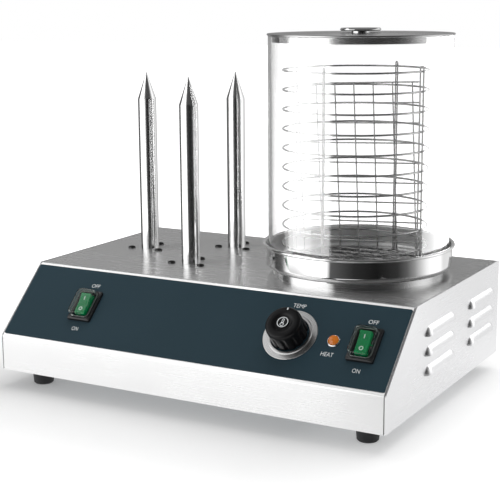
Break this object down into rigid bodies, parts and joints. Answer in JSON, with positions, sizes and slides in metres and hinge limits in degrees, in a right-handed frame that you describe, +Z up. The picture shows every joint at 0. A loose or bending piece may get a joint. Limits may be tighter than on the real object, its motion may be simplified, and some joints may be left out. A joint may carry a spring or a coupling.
{
  "type": "hot dog steamer",
  "caption": "Counter-top hot dog steamer: glass steam cylinder with a wire basket over a heated water bowl, heated spikes for rolls and a sloped control panel.",
  "frame": {"origin": "on the table plane, below the middle of the housing", "axes": "+X to the right seen from the front, -Y towards the front (the sloped control panel), +Z up"},
  "size_m": [0.4798, 0.335, 0.3986],
  "materials": {
    "stainless": "brushed stainless steel sheet",
    "polished_steel": "polished stainless steel",
    "wire": "bright stainless wire",
    "fastener_steel": "machined steel",
    "galvanised": "plain galvanised steel",
    "overlay_print": "printed dark slate film",
    "black_plastic": "satin black moulded plastic",
    "clear_cover": "clear flexible splash cover",
    "green_plastic": "translucent green",
    "amber_plastic": "translucent amber",
    "white_plastic": "white moulded plastic",
    "silver_plastic": "spun silver",
    "copper_tube": "drawn copper tube",
    "rubber": "black rubber",
    "glass": "clear heat-resistant glass",
    "heater_metal": "cast heater plate"
  },
  "bodies": {
    "base": {"housing_wrap": "stainless", "side_panel_left": "stainless", "side_panel_right": "stainless", "rear_panel": "stainless", "base_plate": "galvanised", "rear_screws": "fastener_steel", "base_screws": "fastener_steel", "foot_front_left": "rubber", "foot_front_right": "rubber", "foot_rear_left": "rubber", "foot_rear_right": "rubber", "foot_screws": "fastener_steel", "foot_nuts": "fastener_steel", "control_overlay": "overlay_print", "switch_body_left": "black_plastic", "switch_body_right": "black_plastic", "switch_bezel_left": "black_plastic", "switch_bezel_right": "black_plastic", "splash_cover_left": "clear_cover", "splash_cover_right": "clear_cover", "thermostat_body": "white_plastic", "thermostat_screws": "fastener_steel", "thermostat_capillary": "copper_tube", "dial_ring": "silver_plastic", "lamp_bezel": "polished_steel", "lamp_lens": "amber_plastic", "lamp_body": "black_plastic", "bowl_collar": "polished_steel", "bowl_heater": "heater_metal", "heater_bracket": "galvanised", "spike_left": "polished_steel", "spike_front": "polished_steel", "spike_rear": "polished_steel", "spike_flange_left": "galvanised", "spike_flange_front": "galvanised", "spike_flange_rear": "galvanised", "spike_heater_left": "fastener_steel", "spike_heater_front": "fastener_steel", "spike_heater_rear": "fastener_steel", "spike_screws": "fastener_steel", "cord_bushing": "black_plastic", "bushing_nut": "black_plastic", "terminal_block": "white_plastic", "earth_stud": "fastener_steel"},
    "left_rocker_body": {"rocker_left": "green_plastic"},
    "right_rocker_body": {"rocker_right": "green_plastic"},
    "knob_body": {"thermostat_knob": "black_plastic", "knob_pointer": "white_plastic", "knob_cap": "black_plastic", "thermostat_shaft": "fastener_steel"},
    "bowl_body": {"water_bowl": "polished_steel"},
    "plate_body": {"steam_plate": "stainless"},
    "glass_body": {"glass_cylinder": "glass"},
    "basket_body": {"basket": "wire"},
    "divider_body": {"basket_divider": "wire"},
    "lid_body": {"lid": "polished_steel", "lid_knob": "polished_steel", "lid_screw": "fastener_steel"}
  },
  "joints": [
    {"name": "left_rocker_hinge", "type": "hinge", "parent": "base", "child": "left_rocker_body", "pos_m": [-0.1427, -0.12901, 0.0961], "axis": [-1, 0, 0], "range_deg": [0, 14]},
    {"name": "right_rocker_hinge", "type": "hinge", "parent": "base", "child": "right_rocker_body", "pos_m": [0.1965, -0.12901, 0.0961], "axis": [-1, 0, 0], "range_deg": [0, 14]},
    {"name": "knob_hinge", "type": "hinge", "parent": "base", "child": "knob_body", "pos_m": [0.1134, -0.1275, 0.0945], "axis": [0, 0.6875, -0.7262], "range_deg": [0, 270]},
    {"name": "bowl_lift", "type": "slide", "parent": "base", "child": "bowl_body", "axis": [0, 0, 1], "range_m": [0, 0.05]},
    {"name": "plate_lift", "type": "slide", "parent": "bowl_body", "child": "plate_body", "axis": [0, 0, 1], "range_m": [0, 0.04]},
    {"name": "glass_lift", "type": "slide", "parent": "plate_body", "child": "glass_body", "axis": [0, 0, 1], "range_m": [0, 0.25]},
    {"name": "basket_lift", "type": "slide", "parent": "glass_body", "child": "basket_body", "axis": [0, 0, 1], "range_m": [0, 0.25]},
    {"name": "divider_lift", "type": "slide", "parent": "basket_body", "child": "divider_body", "axis": [0, 0, 1], "range_m": [0, 0.21]},
    {"name": "lid_lift", "type": "slide", "parent": "divider_body", "child": "lid_body", "axis": [0, 0, 1], "range_m": [0, 0.1]}
  ]
}
